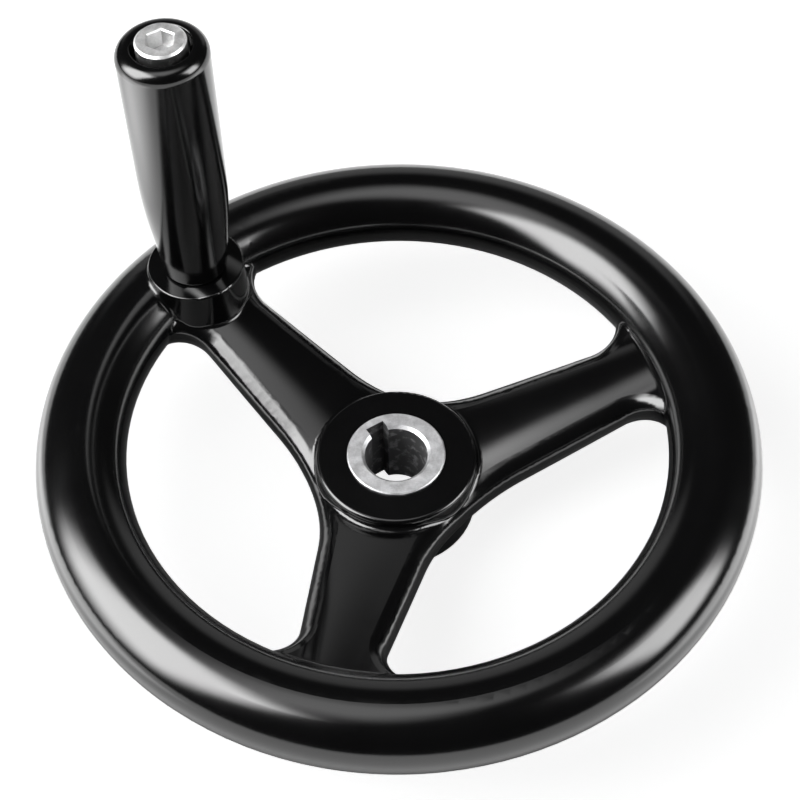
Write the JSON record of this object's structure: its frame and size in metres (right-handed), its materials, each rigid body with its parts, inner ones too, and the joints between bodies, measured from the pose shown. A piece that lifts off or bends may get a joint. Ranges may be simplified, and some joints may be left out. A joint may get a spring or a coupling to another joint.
{
  "type": "machine handwheel with revolving handle",
  "caption": "Dished three-spoke machine handwheel in black moulded plastic with a steel keyed hub bush and a revolving handle standing on its rim.",
  "frame": {"origin": "centre of the rear face of the hub bush, on the wheel's axis", "axes": "+Z along the wheel's axis from the shaft towards the operator, parallel to the handle; +X and +Y across the wheel, with the handle's spoke at 136 degrees from +X towards +Y"},
  "size_m": [0.18, 0.18, 0.1186],
  "materials": {
    "moulded_body": "polished black phenolic moulding",
    "steel_bush": "faced and reamed steel, fine turning marks",
    "brass_insert": "turned brass",
    "steel_spindle": "turned steel, plain",
    "moulded_sleeve": "polished black phenolic moulding"
  },
  "bodies": {
    "wheel": {"wheel_body": "moulded_body", "hub_bush": "steel_bush", "boss_insert": "brass_insert", "handle_spindle": "steel_spindle"},
    "handle": {"handle_sleeve": "moulded_sleeve"}
  },
  "joints": [
    {"name": "handle_spin", "type": "hinge", "parent": "wheel", "child": "handle", "pos_m": [-0.05086, 0.04911, 0.0796], "axis": [0, 0, 1], "continuous": true}
  ]
}
